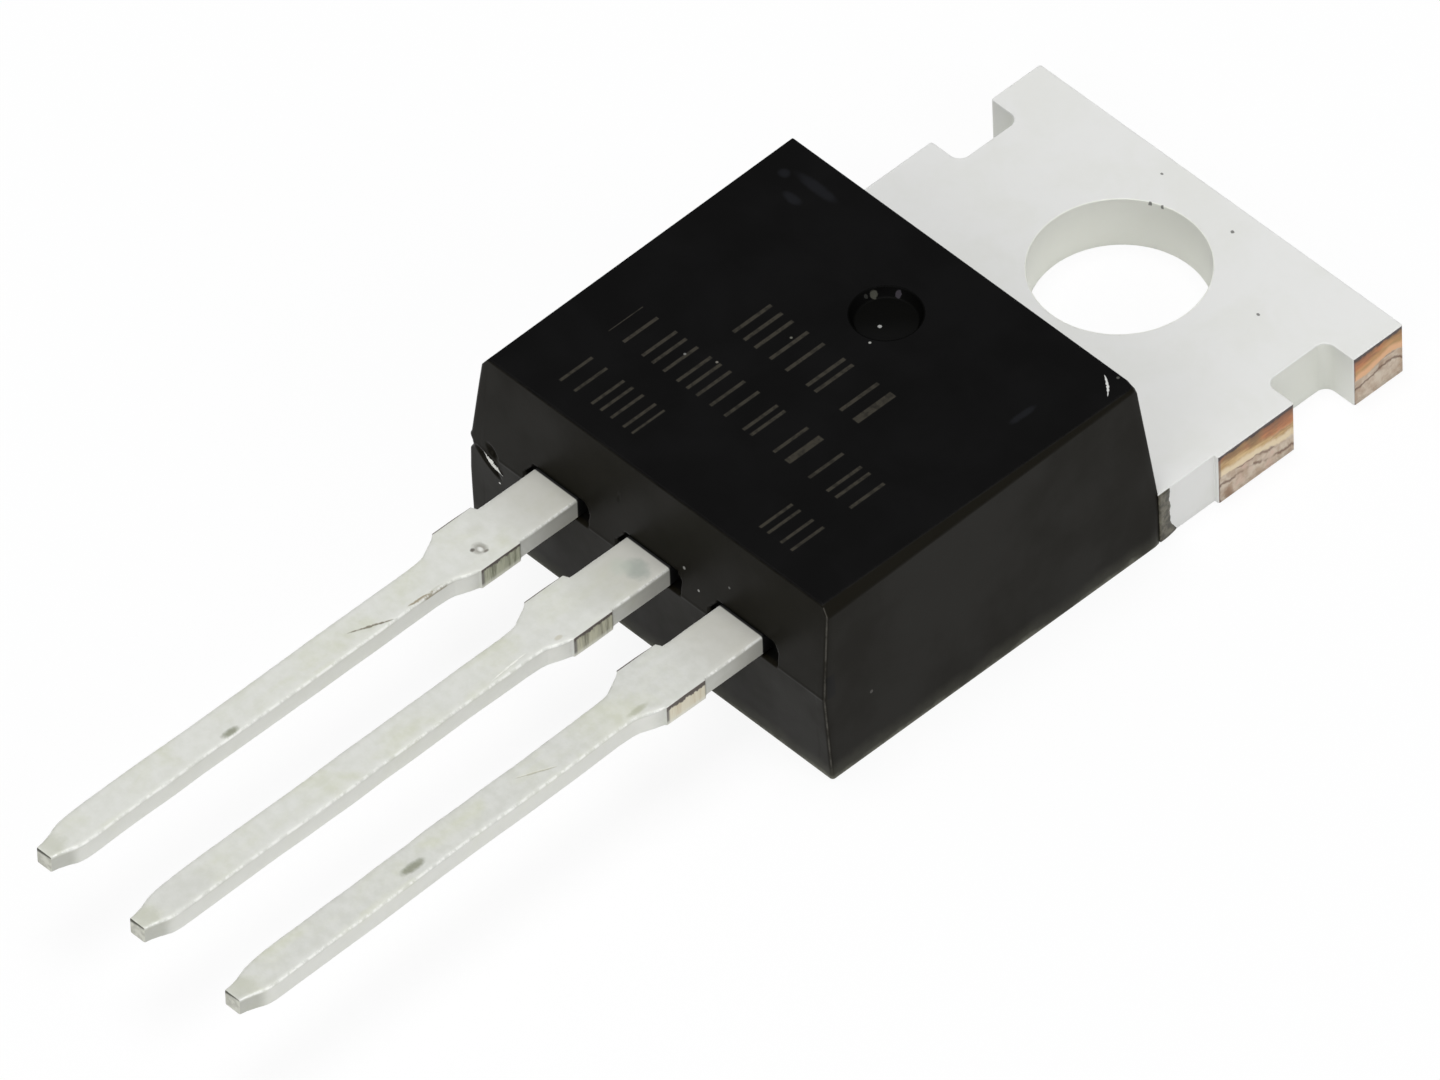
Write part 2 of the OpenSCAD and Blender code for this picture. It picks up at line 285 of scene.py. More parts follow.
class Graph:
    """Adds nodes to a material and links them. Places, widths and heights of masks are millimetres;
    the scales of noises are repeats per metre."""

    def __init__(self, name):
        self.material = bpy.data.materials.new(name)
        self.material.use_nodes = True
        self.tree = self.material.node_tree
        self.shader = self.tree.nodes["Principled BSDF"]
        self.where = self.add("ShaderNodeTexCoord").outputs["Object"]
        grown = self.add("ShaderNodeVectorMath", {0: self.where, "Scale": 1 / MM}, operation="SCALE")
        self.place = grown.outputs[0]

    def add(self, kind, sockets=(), **settings):
        """A node with its settings, and its sockets fed by name or number."""
        node = self.tree.nodes.new(kind)
        for key, value in settings.items():
            setattr(node, key, value)
        for socket, value in dict(sockets).items():
            self.feed(node, socket, value)
        return node

    def feed(self, node, socket, value):
        """Links an output, or sets a plain number or colour."""
        if isinstance(value, bpy.types.NodeSocket):
            self.tree.links.new(value, node.inputs[socket])
        else:
            node.inputs[socket].default_value = value

    def math(self, operation, *values):
        return self.add("ShaderNodeMath", enumerate(values), operation=operation).outputs[0]

    def product(self, first, *others):
        """All the values multiplied."""
        for value in others:
            first = self.math("MULTIPLY", first, value)
        return first

    def shifted(self, base, value, share, middle=0.0):
        """The base plus a share of how far a value lies from its middle."""
        if middle:
            value = self.math("SUBTRACT", value, middle)
        return self.math("MULTIPLY_ADD", value, share, base)

    def either(self, first, *others):
        """The highest of several masks."""
        for value in others:
            first = self.math("MAXIMUM", first, value)
        return first

    def noise(self, scale, detail=4, rough=0.6, distort=0.0, source=None):
        sockets = {"Vector": source or self.where, "Scale": scale, "Detail": detail, "Roughness": rough,
                   "Distortion": distort}
        return self.add("ShaderNodeTexNoise", sockets).outputs["Fac"]

    def streaks(self, scale, detail=4, rough=0.6, turn=0.0):
        """Noise with its own repeats per metre along X, Y and Z, turned about X by degrees."""
        sockets = {"Vector": self.where, "Scale": scale, "Rotation": (math.radians(turn), 0, 0)}
        return self.noise(1.0, detail, rough, source=self.add("ShaderNodeMapping", sockets).outputs[0])

    def bars(self, value, scale):
        """Distance to the nearest of a row of unevenly spaced lines."""
        sockets = {"W": value, "Scale": scale}
        return self.add("ShaderNodeTexVoronoi", sockets, voronoi_dimensions="1D").outputs["Distance"]

    def wear_and_highlight(self):
        """How far a spot lies on an edge that is painted bright, for wear and as a painted highlight, from
        the piece's own attribute.
        """
        return self.add("ShaderNodeAttribute", attribute_name="edge_wear_and_highlight").outputs["Fac"]

    def axes(self):
        return self.add("ShaderNodeSeparateXYZ", {0: self.place}).outputs[:3]

    def between(self, value, low, high, to_low=0.0, to_high=1.0):
        """Smooth step of a value from low to high."""
        sockets = {"Value": value, "From Min": low, "From Max": high, "To Min": to_low, "To Max": to_high}
        return self.add("ShaderNodeMapRange", sockets, interpolation_type="SMOOTHSTEP").outputs[0]

    def band(self, value, low, high, soft):
        """1 between low and high, with soft edges."""
        rise = self.between(value, low - soft, low + soft)
        return self.product(rise, self.between(value, high - soft, high + soft, 1.0, 0.0))

    def stroke(self, a, b, start, end, width, soft, bow, rough):
        """Mask of a mark drawn from start to end in the plane of two coordinates. bow bends it into a
        shallow arc, and the noise given as rough breaks it up."""
        reach = math.dist(start, end) / 2
        c, s = (end[0] - start[0]) / (2 * reach), (end[1] - start[1]) / (2 * reach)
        da = self.math("SUBTRACT", a, (start[0] + end[0]) / 2)
        db = self.math("SUBTRACT", b, (start[1] + end[1]) / 2)
        along = self.shifted(self.product(db, s), da, c)
        across = self.shifted(self.product(db, c), da, -s)
        across = self.shifted(across, self.product(along, along), -bow)
        far = self.math("DIVIDE", self.math("ABSOLUTE", along), reach)
        taper = self.math("MAXIMUM", self.math("SUBTRACT", 1.0, self.product(far, far)), 0.0)
        taper = self.product(taper, self.between(rough, 0.3, 0.6, 0.4, 1.2))
        gap = self.shifted(self.math("ABSOLUTE", across), taper, -width / 2)
        return self.product(self.between(gap, soft / 2, -soft / 2), self.between(far, 1.0, 0.9))

    def spot(self, a, b, middle, half, soft, rough=None):
        """Mask of an oval blot round a middle, its edge soft by a share of its size and frayed by the
        noise given as rough."""
        da = self.math("DIVIDE", self.math("SUBTRACT", a, middle[0]), half[0])
        db = self.math("DIVIDE", self.math("SUBTRACT", b, middle[1]), half[1])
        reach = self.math("ADD", self.product(da, da), self.product(db, db))
        if rough is not None:
            reach = self.shifted(reach, rough, 2.2, 0.5)
        return self.between(reach, 1.0 + soft / 2, 1.0 - soft / 2)

    def dust(self, place, size, core):
        """Mask of a round speck about a point, full within its core."""
        gap = self.add("ShaderNodeVectorMath", {0: self.place, 1: place}, operation="DISTANCE")
        return self.between(gap.outputs["Value"], size, core)

    def blend(self, factor, first, second):
        """Two colours mixed by a factor."""
        first, second = (tone if isinstance(tone, bpy.types.NodeSocket) else (*tone, 1.0)
                         for tone in (first, second))
        return self.add("ShaderNodeMix", {0: factor, 6: first, 7: second}, data_type="RGBA").outputs[2]

    def tint(self, colour, shade, *masks):
        """The colour turned to a shade by the masks' product."""
        return self.blend(self.product(*masks), colour, shade)

    def mix(self, factor, first, second):
        """Two numbers mixed by a factor."""
        return self.add("ShaderNodeMix", {0: factor, 2: first, 3: second}).outputs[0]

    def bump(self, height, depth, strength):
        """Normal of a relief whose height of 1 stands for a depth in millimetres."""
        sockets = {"Height": height, "Distance": depth * MM, "Strength": strength}
        return self.add("ShaderNodeBump", sockets).outputs[0]

    def finish(self, **sockets):
        """Feeds the shader and gives the material."""
        for key, value in sockets.items():
            name = key.replace("_", " ").title().replace("Ior", "IOR")
            if isinstance(value, tuple):
                value = (*value, 1.0)
            self.feed(self.shader, name, value)
        return self.material


def paint(obj, *materials):
    """Gives a piece its materials in the order of its faces' numbers."""
    numbers = np.empty(len(obj.data.polygons), np.int32)
    obj.data.polygons.foreach_get("material_index", numbers)
    obj.data.materials.clear()
    for material in materials:
        obj.data.materials.append(material)
    if len(materials) > 1:
        obj.data.polygons.foreach_set("material_index", numbers)


class MetalLook(bpy.types.PropertyGroup):
    """Sizes and colours of the leads and the tab"""

    tin: bpy.props.FloatVectorProperty(
        name="Tin", description="Colour of the tab's matte tin plate", subtype="COLOR",
        default=(0.765, 0.765, 0.745),
    )
    lead_tin: bpy.props.FloatVectorProperty(
        name="Lead Tin", description="Colour of the leads' tin plate", subtype="COLOR",
        default=(0.655, 0.66, 0.61),
    )
    stain: bpy.props.FloatVectorProperty(
        name="Stain", description="Colour of the faint stains on the tin", subtype="COLOR",
        default=(0.6, 0.61, 0.5),
    )
    copper: bpy.props.FloatVectorProperty(
        name="Copper", description="Colour of the cut copper sides", subtype="COLOR",
        default=(0.5, 0.19, 0.065),
    )
    edge: bpy.props.FloatProperty(
        name="Edge", description="Radius of the tab's edges", unit="LENGTH", default=0.02 * MM
    )


class ResinLook(bpy.types.PropertyGroup):
    """Sizes and colours of the moulded body"""

    colour: bpy.props.FloatVectorProperty(
        name="Resin", description="Colour of the moulding resin", subtype="COLOR",
        default=(0.0014, 0.0014, 0.0016),
    )
    mark: bpy.props.FloatVectorProperty(
        name="Mark", description="Colour of the etched bars", subtype="COLOR", default=(0.04, 0.036, 0.028)
    )
    edge: bpy.props.FloatProperty(
        name="Edge", description="Radius of the body's top edge", unit="LENGTH", default=0.045 * MM
    )


class StageLook(bpy.types.PropertyGroup):
    """Colour of the table and place of the camera"""

    floor: bpy.props.FloatVectorProperty(
        name="Floor", description="Colour of the table", subtype="COLOR", default=(0.9, 0.9, 0.9)
    )
    azimuth: bpy.props.FloatProperty(
        name="Azimuth", description="Direction of the camera round the part", subtype="ANGLE",
        default=math.radians(47.885),
    )
    elevation: bpy.props.FloatProperty(
        name="Elevation", description="Height of the camera above the horizon", subtype="ANGLE",
        default=math.radians(46.443),
    )
    roll: bpy.props.FloatProperty(
        name="Roll", description="Turn of the camera about its own axis", subtype="ANGLE",
        default=math.radians(-2.351),
    )
    distance: bpy.props.FloatProperty(
        name="Distance", description="Camera to the point it looks at", unit="LENGTH", default=564.94 * MM
    )
    aim: bpy.props.FloatVectorProperty(
        name="Aim", description="Point the camera looks at", subtype="TRANSLATION",
        default=(-0.4226 * MM, -10.2396 * MM, MM),
    )
    lens: bpy.props.FloatProperty(
        name="Lens", description="Focal length on a 36 mm wide sensor, in millimetres", default=741.11
    )


# Marks on each lead's upper face: blots with their middle, half sizes, shade and strength, and
# scratches with their two ends, width and shade.
LEAD_BLOTS = {
    "gate_lead": (
        ((-2.24, -21.26), (0.08, 0.2), (0.25, 0.26, 0.19), 0.9),
        ((-2.1, -16.0), (0.1, 0.35), (0.33, 0.32, 0.24), 0.6),
        ((-2.8, -14.35), (0.16, 0.16), (0.55, 0.55, 0.49), 0.3),
        ((-2.5, -25.6), (0.26, 0.26), (0.46, 0.47, 0.37), 0.5),
        ((-2.35, -14.65), (0.15, 0.13), (0.3, 0.29, 0.25), 0.9),
        ((-2.33, -14.66), (0.07, 0.05), (0.74, 0.74, 0.7), 1.0),
        ((-2.42, -14.77), (0.045, 0.05), (0.13, 0.12, 0.1), 1.0),
        ((-2.22, -14.61), (0.03, 0.06), (0.2, 0.19, 0.16), 1.0),
    ),
    "drain_tab_and_lead": (
        ((0.16, -12.93), (0.28, 0.22), (0.34, 0.37, 0.33), 0.8),
        ((-0.1, -13.1), (0.22, 0.2), (0.5, 0.53, 0.46), 0.6),
        ((0.4, -15.2), (0.05, 0.09), (0.5, 0.47, 0.36), 0.6),
        ((0.1, -25.6), (0.26, 0.26), (0.46, 0.47, 0.37), 0.5),
        ((0.12, -24.6), (0.3, 0.7), (0.5, 0.5, 0.46), 0.3),
        ((0.0, -13.9), (0.5, 0.5), (0.5, 0.5, 0.45), 0.3),
    ),
    "source_lead": (
        ((2.74, -21.21), (0.1, 0.26), (0.25, 0.26, 0.19), 0.9),
        ((2.82, -15.45), (0.07, 0.22), (0.4, 0.41, 0.3), 0.7),
        ((2.7, -25.6), (0.26, 0.26), (0.46, 0.47, 0.37), 0.5),
    ),
}
LEAD_SCRATCHES = {
    "gate_lead": (
        ((-2.54, -17.96), (-2.16, -17.04), 0.055, (0.22, 0.2, 0.15)),
        ((-2.23, -16.67), (-2.05, -15.47), 0.1, (0.31, 0.27, 0.19)),
    ),
    "drain_tab_and_lead": (((0.32, -16.9), (0.25, -15.9), 0.04, (0.84, 0.84, 0.78)),),
    "source_lead": (((2.45, -18.3), (2.8, -17.5), 0.04, (0.5, 0.49, 0.4)),),
}
# For each lead: its tin's painted shade, a darkening that evens out how brightly the lamps light the
# three leads, the dark and the pale tone of its cut stub, and where the dark lip along the stub's top
# starts.
LEAD_TONES = {
    "gate_lead": (1.0, (0.16, 0.165, 0.1), (0.48, 0.49, 0.36), 2.66),
    "drain_tab_and_lead": (0.98, (0.2, 0.19, 0.13), (0.55, 0.54, 0.4), 2.66),
    "source_lead": (0.92, (0.66, 0.58, 0.42), (0.76, 0.71, 0.56), 2.61),
}
# Pits of the tab's face: place and size.
TAB_SPECKS = (
    (-1.19, 2.31, 0.035), (0.89, 2.17, 0.045), (2.81, 0.97, 0.04), (-0.8, 1.61, 0.035), (-0.57, 1.71, 0.03)
)
# Levels up the tab's cut sides between which one band gives way to the next.
STREAK_AT, GOLD_AT, RUST_AT, SHADE_AT = (0.53, 0.6), (0.67, 0.8), (0.83, 0.96), (0.98, 1.25)
# Cracks along the cut sides: level, half width, and how they come and go with the patches.
CRACKS = ((0.53, 0.022, 0.44, 0.52), (0.33, 0.03, 0.56, 0.48))


def cut_copper(g, look, y, z):
    """Bare sheared copper from the top edge down: a dark rolled line, a smooth band that runs from
    brown to gold and a bright burnished streak, cracks, and torn beige metal below."""
    ragged = g.streaks((0, 4200, 2600), 5, 0.65)
    level = g.shifted(z, g.math("SINE", g.shifted(1.62, y, 1.35)), 0.13)
    level = g.shifted(level, g.streaks((0, 900, 500), 3, 0.55), 0.5, 0.5)
    level = g.shifted(level, ragged, 0.15, 0.5)
    bands = g.streaks((0, 1400, 7000), turn=-14)
    pits, patch = g.noise(3600), g.noise(900, 3)
    torn = g.blend(g.between(pits, 0.36, 0.64), (0.52, 0.4, 0.3), (0.68, 0.59, 0.48))
    torn = g.tint(torn, (0.66, 0.46, 0.37), g.between(patch, 0.5, 0.62))
    torn = g.tint(torn, (0.3, 0.18, 0.11), g.between(g.noise(1500, 3, 0.5), 0.54, 0.7, 0.0, 0.8))
    beyond = g.between(y, 0.5, 1.3)
    pale = g.blend(beyond, (0.66, 0.47, 0.23), (0.56, 0.29, 0.11))
    gold = g.blend(g.between(bands, 0.35, 0.65), (0.42, 0.24, 0.08), pale)
    streak = g.blend(beyond, (0.78, 0.64, 0.43), (0.74, 0.42, 0.22))
    rust = g.tint(look.copper, (0.33, 0.2, 0.07), g.between(patch, 0.45, 0.6))
    rust = g.blend(g.between(bands, 0.38, 0.6), g.blend(0.45, rust, (0.14, 0.05, 0.02)), rust)
    smooth = g.between(level, *STREAK_AT)
    colour = g.blend(smooth, torn, streak)
    colour = g.tint(colour, gold, g.between(level, *GOLD_AT))
    colour = g.tint(colour, rust, g.between(level, *RUST_AT))
    colour = g.tint(colour, (0.12, 0.045, 0.02), g.between(level, *SHADE_AT, 0.0, 0.7))
    for deep, wide, low, high in CRACKS:
        crack = g.band(level, deep - wide, deep + wide, 0.03)
        colour = g.tint(colour, (0.15, 0.075, 0.045), crack, g.between(patch, low, high, 0.0, 0.8))
    # Painted shadow: a dark line where each cut side starts, by the step and behind the notch.
    ends = g.either(g.between(y, STEP_BACK + 0.1, STEP_BACK + 0.05),
                    g.band(y, NOTCH_BACK - 0.1, NOTCH_BACK + 0.05, 0.015))
    colour = g.tint(colour, (0.13, 0.08, 0.075), ends, 0.7)
    rolled = g.between(g.shifted(z, ragged, 0.2), PLATE - 0.03, PLATE + 0.03)
    colour = g.tint(colour, (0.035, 0.014, 0.012), rolled)
    rough = g.mix(smooth, 0.62, g.mix(bands, 0.26, 0.42))
    return colour, rough, g.product(g.mix(smooth, pits, g.product(bands, 0.4)), 6.0)


def cut_stub(g, off, y, z, dark, pale, lip_at):
    """Sheared sides of a lead's tie-bar stubs: their mask, their striped colour, dark at both ends and
    along the top lip and pale at the foot, and their height."""
    beside = g.either(g.between(off, 0.628, 0.636), g.between(off, -0.706, -0.714))
    stripes = g.streaks((0, 7500, 700), 4, 0.7)
    colour = g.blend(g.between(stripes, 0.36, 0.62), dark, pale)
    between_ends = g.band(y, STUB_FRONT + 0.07, STUB_BACK - 0.03, 0.03)
    colour = g.blend(between_ends, (0.16, 0.15, 0.13), colour)
    colour = g.tint(colour, (0.8, 0.79, 0.7), g.between(z, 2.3, 2.18, 0.0, 0.8))
    lip = g.shifted(z, g.streaks((0, 11000, 2500), 4, 0.7), 0.2)
    colour = g.tint(colour, (0.075, 0.055, 0.045), g.between(lip, lip_at, lip_at + 0.04))
    return g.product(beside, g.band(y, STUB_FRONT, STUB_BACK, 0.01)), colour, g.product(stripes, 5.0)


def tab_marks(g, colour, x, y, z, outer):
    """Paler tin in the screw hole, painted shade in the side notches, where the tin is darker and yellower,
    most at their inner wall, and the dark pits of the face.
    """
    reach = HOLE_RADIUS + 0.025
    colour = g.tint(colour, (0.83, 0.84, 0.75), g.spot(x, y, (0, 0), (reach, reach), 0.02), 0.6)
    # Painted shade in the side notches: the tin darker and yellower, most at their inner wall.
    notch = g.product(g.between(outer, NOTCH_SIDE - 0.04, NOTCH_SIDE - 0.02),
                      g.band(y, NOTCH_FRONT - 0.01, NOTCH_BACK + 0.01, 0.01),
                      g.between(z, PLATE - 0.01, PLATE - 0.05))
    colour = g.tint(colour, (0.74, 0.75, 0.68), notch, g.between(outer, 4.7, 4.3, 0.35, 0.75))
    face = g.between(z, PLATE - 0.1, PLATE - 0.06)
    for at_x, at_y, size in TAB_SPECKS:
        pit = g.spot(x, y, (at_x, at_y), (size, size * 0.8), 0.5, g.noise(20000, 2, 0.5))
        colour = g.tint(colour, (0.12, 0.12, 0.11), pit, 0.85, face)
    return colour


def tin_material(look, name, lead_x):
    """Matte tin: faint stains and a fine rolled grain, painted bright along the leads' edges for wear and as
    a painted highlight, with the marks that each lead bears and painted light and shade on the leads. The
    tie-bar stubs and the tab's sheared sides show bare metal."""
    g = Graph("tinned_" + name)
    x, y, z = g.axes()
    painted_lead_shade, stub_dark, stub_pale, lip_at = LEAD_TONES[name]
    on_lead = g.between(y, -11.9, -12.1)
    on_top, on_side = g.between(z, LEAD_TOP - 0.09, LEAD_TOP - 0.05), g.between(z, 2.6, 2.57)
    root, shaft = g.between(y, -14.5, -12.8), g.band(y, -25.3, -15.2, 0.2)
    pinched = g.between(y, -25.25, -25.5)
    blots = g.between(g.noise(700, distort=0.5), 0.4, 0.66)
    streaks = g.streaks((2600, 420, 2600), 3, 0.55)
    stain = g.product(blots, g.mix(on_lead, 0.12, g.between(streaks, 0.3, 0.7)))
    # Each lead's tin darkened by its painted shade, which evens out the lamps' light on the three leads.
    colour = g.blend(on_lead, look.tin, [c * painted_lead_shade for c in look.lead_tin])
    colour = g.tint(colour, look.stain, stain)
    mottle = g.between(g.noise(3800), 0.3, 0.7, 0.0, g.mix(on_lead, 0.12, 0.3))
    colour = g.tint(colour, (0.8, 0.8, 0.78), mottle)
    # Painted shade: the leads' tin darker towards the body.
    colour = g.tint(colour, (0.48, 0.47, 0.42), on_lead, root, 0.7)
    # Painted light and shade on the leads' side faces: paler along the shaft, darker where the tip is
    # pinched.
    colour = g.tint(colour, (0.82, 0.82, 0.77), on_side, shaft, 0.68)
    colour = g.tint(colour, (0.42, 0.425, 0.37), on_side, pinched, 0.6)
    grain, roll = g.noise(14000, 3), g.streaks((9000, 900, 9000))
    rough = g.mix(g.product(g.between(roll, 0.3, 0.75), g.mix(on_lead, 0.25, 1.0)), 0.43, 0.56)
    height = g.shifted(g.product(grain, 0.6), roll, g.mix(on_lead, 0.06, 0.25))
    for middle, half, shade, strength in LEAD_BLOTS[name]:
        blot = g.spot(x, y, middle, half, 1.8, g.noise(5000, 5, 0.65))
        colour = g.tint(colour, shade, blot, strength, on_top)
    for start, end, width, shade in LEAD_SCRATCHES[name]:
        scratch = g.product(g.stroke(x, y, start, end, width, 0.03, 0.0, g.noise(12000, 3, 0.5)), on_top)
        height = g.shifted(height, scratch, -2.0)
        colour = g.tint(colour, shade, scratch)
    # Painted highlight: a broken bright line along the leads' rounded edges, which also stands for rubbed
    # tin.
    dashes = g.between(g.streaks((3000, 5200, 3000), 4, 0.7), 0.42, 0.58)
    wear_and_highlight = g.product(g.wear_and_highlight(), g.wear_and_highlight(), g.mix(on_lead, 0.0, g.mix(dashes, 0.15, 0.95)))
    colour = g.tint(colour, (0.92, 0.92, 0.88), wear_and_highlight)
    rough = g.mix(wear_and_highlight, rough, 0.25)
    off = g.math("SUBTRACT", x, lead_x)
    stub, stub_colour, stub_height = cut_stub(g, off, y, z, stub_dark, stub_pale, lip_at)
    colour = g.tint(colour, stub_colour, stub, 0.95)
    height = g.mix(stub, height, stub_height)
    cut_end = g.blend(g.between(g.noise(6000, 3, 0.5), 0.4, 0.6), (0.5, 0.5, 0.43), (0.66, 0.66, 0.58))
    cut_end = g.tint(cut_end, (0.09, 0.09, 0.07), g.between(g.shifted(z, off, -0.15), 2.54, 2.6))
    colour = g.tint(colour, cut_end, g.between(y, TIP + 0.015, TIP + 0.005))
    # Painted shade: the leads' tin near black where it runs into the recesses of the body's front.
    lead_recess_shade = g.product(g.between(z, PARTING - 0.15, PARTING - 0.05), g.between(y, FRONT, FRONT + 0.03))
    colour = g.tint(colour, (0.004, 0.004, 0.004), lead_recess_shade)
    if name == MIDDLE_LEAD:
        outer = g.math("ABSOLUTE", x)
        colour = tab_marks(g, colour, x, y, z, outer)
        side = g.between(outer, TAB_SIDE - 0.095, TAB_SIDE - 0.085)
        lengths = g.either(g.band(y, STEP_BACK + 0.018, NOTCH_FRONT - 0.018, 0.004),
                           g.band(y, NOTCH_BACK + 0.018, TAB_END - 0.018, 0.004))
        cut = g.product(side, lengths, g.between(z, PLATE - 0.008, PLATE - 0.02))
        bare, bare_rough, bare_height = cut_copper(g, look, y, z)
        colour = g.tint(colour, bare, cut)
        rough = g.mix(cut, rough, bare_rough)
        height = g.mix(cut, height, bare_height)
    rough = g.math("ADD", rough, g.mix(on_lead, 0.1, 0.05))
    return g.finish(base_color=colour, metallic=g.mix(on_lead, 0.12, 0.16), roughness=rough,
                    normal=g.bump(height, 0.004, 0.6))


# Rows of plain bars on the body's top: front, rear and the spans that they fill.
BAR_ROWS = (
    (-8.45, -7.45, ((-1.9, 2.0),)),
    (-10.1, -9.2, ((-3.5, 3.2),)),
    (-11.65, -10.8, ((-3.3, -1.2), (2.1, 3.4))),
)
SMUDGES = (
    ((-3.4, -4.68), (0.5, 0.12)), ((-3.55, -5.2), (0.2, 0.1)),
    ((-4.14, -4.84), (0.12, 0.1)), ((3.7, -6.12), (0.07, 0.3)),
)
SPECKS = (
    ((0.27, -6.82, 4.4), 0.035, (0.3, 0.3, 0.28)),
    ((-2.02, -9.5, 4.4), 0.035, (0.16, 0.16, 0.15)),
    ((-1.43, -9.22, 4.4), 0.035, (0.16, 0.15, 0.13)),
    ((-0.89, -7.78, 4.4), 0.035, (0.12, 0.12, 0.1)),
    ((4.29, -4.15, 4.4), 0.04, (0.08, 0.08, 0.07)),
    ((0.94, -12.41, 2.87), 0.045, (0.3, 0.3, 0.28)),
    ((1.36, -12.45, 2.58), 0.035, (0.35, 0.35, 0.33)),
    ((2.15, -12.38, 3.19), 0.035, (0.14, 0.14, 0.13)),
    ((4.86, -11.31, 1.55), 0.05, (0.07, 0.065, 0.06)),
)


def resin_material(look):
    """Satin black resin: fine mould grain, rougher sides, and three faint etched rows of plain
    upright bars on the top, with no lettering."""
    g = Graph("mould_resin")
    x, y, z = g.axes()
    grain, fine = g.noise(16000), g.noise(15000, 3)
    cloud = g.noise(700, 4, 0.55, 0.3)
    top = g.between(z, TOP - 0.03, TOP - 0.01)
    haze = g.mix(g.between(g.noise(330), 0.35, 0.65), 0.34, 0.52)
    rough = g.mix(top, haze, g.mix(cloud, 0.3, 0.4))
    colour = g.blend(g.between(cloud, 0.35, 0.7), look.colour, [c * 1.6 for c in look.colour])
    # Painted reflection: the walls warmer and paler than the top.
    colour = g.blend(top, (0.0034, 0.0026, 0.0006), colour)
    marks = []
    for row, (near, far, spans) in enumerate(BAR_ROWS):
        bars = g.between(g.bars(x, 2.5 + 0.27 * row), 0.09, 0.12, 1.0, 0.0)
        marks += [g.product(bars, g.band(x, *span, 0.01), g.band(y, near, far, 0.01)) for span in spans]
    etched = g.product(g.either(*marks), top, g.between(g.noise(9000, 3, 0.5), 0.3, 0.6, 0.5, 1.0))
    colour = g.tint(colour, look.mark, etched, 0.9)
    rough = g.mix(etched, rough, 0.75)
    # Painted highlight on the body's rounded edges, paler on the upright edges than along the top edge, which
    # also stands for wear.
    wear_and_highlight = g.product(g.math("POWER", g.wear_and_highlight(), 8.0), g.between(g.noise(3200, 5, 0.7), 0.34, 0.66, 0.25, 1.3))
    colour = g.tint(colour, g.blend(top, (0.08, 0.076, 0.066), (0.02, 0.02, 0.018)), wear_and_highlight)
    # Painted reflection of the table: the side and front walls paler towards their foot, palest at the bottom
    # edge.
    low = g.shifted(z, g.noise(1500), -0.35)
    wall = g.either(g.between(g.math("ABSOLUTE", x), FOOT - 0.07, FOOT - 0.03),
                    g.between(y, FRONT + 0.09, FRONT + 0.05))
    colour = g.tint(colour, (0.045, 0.044, 0.033), wall, g.between(low, 0.3, -0.15, 0.0, 0.8))
    colour = g.tint(colour, (0.14, 0.14, 0.11), wall, g.between(low, -0.04, -0.2))
    # Painted shade: near black in the recesses round the leads' roots.
    recess_shade = g.product(g.band(y, FRONT + 0.09, FRONT + 0.3, 0.02),
                       g.band(z, PARTING - 0.03, LEAD_TOP + 0.03, 0.02))
    colour = g.tint(colour, (0.0002, 0.0002, 0.0002), recess_shade)
    scratch = g.stroke(x, y, (4.06, -4.25), (4.53, -4.62), 0.05, 0.015, -0.35, fine)
    colour = g.tint(colour, (0.62, 0.62, 0.6), scratch, top)
    for middle, half in SMUDGES:
        smudge = g.spot(x, y, middle, half, 1.8, g.noise(3000, 4, 0.5))
        colour = g.tint(colour, (0.016, 0.017, 0.021), smudge, top, 0.4)
    for place, size, shade in SPECKS:
        colour = g.tint(colour, shade, g.dust(place, size, size * 0.55))
    flake = g.stroke(x, z, (-4.535, 2.15), (-4.0, 1.79), 0.085, 0.015, -0.1, fine)
    chip = g.spot(x, z, (-4.125, 1.52), (0.025, 0.02), 0.8)
    scar = g.product(g.either(flake, chip), g.between(y, FRONT + 0.14, FRONT + 0.1))
    colour = g.tint(colour, (0.78, 0.78, 0.74), scar)
    height = g.shifted(g.product(grain, 0.6), cloud, 1.4)
    return g.finish(base_color=colour, roughness=rough, specular_ior_level=0.1,
                    specular_tint=(1.0, 0.965, 0.89), normal=g.bump(height, 0.003, 0.5))


# Glints on the pin mark's wall: middle, half size and shade.
GLINTS = (
    ((-0.65, -5.83), 0.072, (0.05, 0.05, 0.04)),
    ((-0.32, -5.49), 0.068, (0.036, 0.032, 0.038)),
    ((-0.71, -5.98), 0.035, (0.02, 0.02, 0.018)),
)


def mark_material():
    """Dull resin of the round pin mark, its floor painted paler to the right, a painted reflection, with the
    small painted glints that its wall shows and a grain of dust."""
    g = Graph("pin_mark")
    x, y, z = g.axes()
    tone = g.blend(g.noise(3000, 3, 0.5), (0.0005, 0.0005, 0.0006), (0.0016, 0.0015, 0.0012))
    # Painted reflection: the floor paler to the right and front.
    across = g.shifted(g.product(x, 0.742), y, -0.67)
    floor = g.blend(g.between(across, 3.95, 4.6), (0.0019, 0.0019, 0.0016), (0.0046, 0.0046, 0.0044))
    tone = g.tint(tone, floor, g.between(z, TOP - 0.12, TOP - 0.13))
    for middle, half, shade in GLINTS:
        tone = g.tint(tone, shade, g.spot(x, y, middle, (half, half), 0.6, g.noise(9000, 2, 0.5)))
    tone = g.tint(tone, (0.3, 0.3, 0.29), g.dust((0.0, -6.3, 4.265), 0.05, 0.03))
    return g.finish(base_color=tone, roughness=0.5, specular_ior_level=0.03,
                    normal=g.bump(g.noise(9000), 0.004, 0.6))


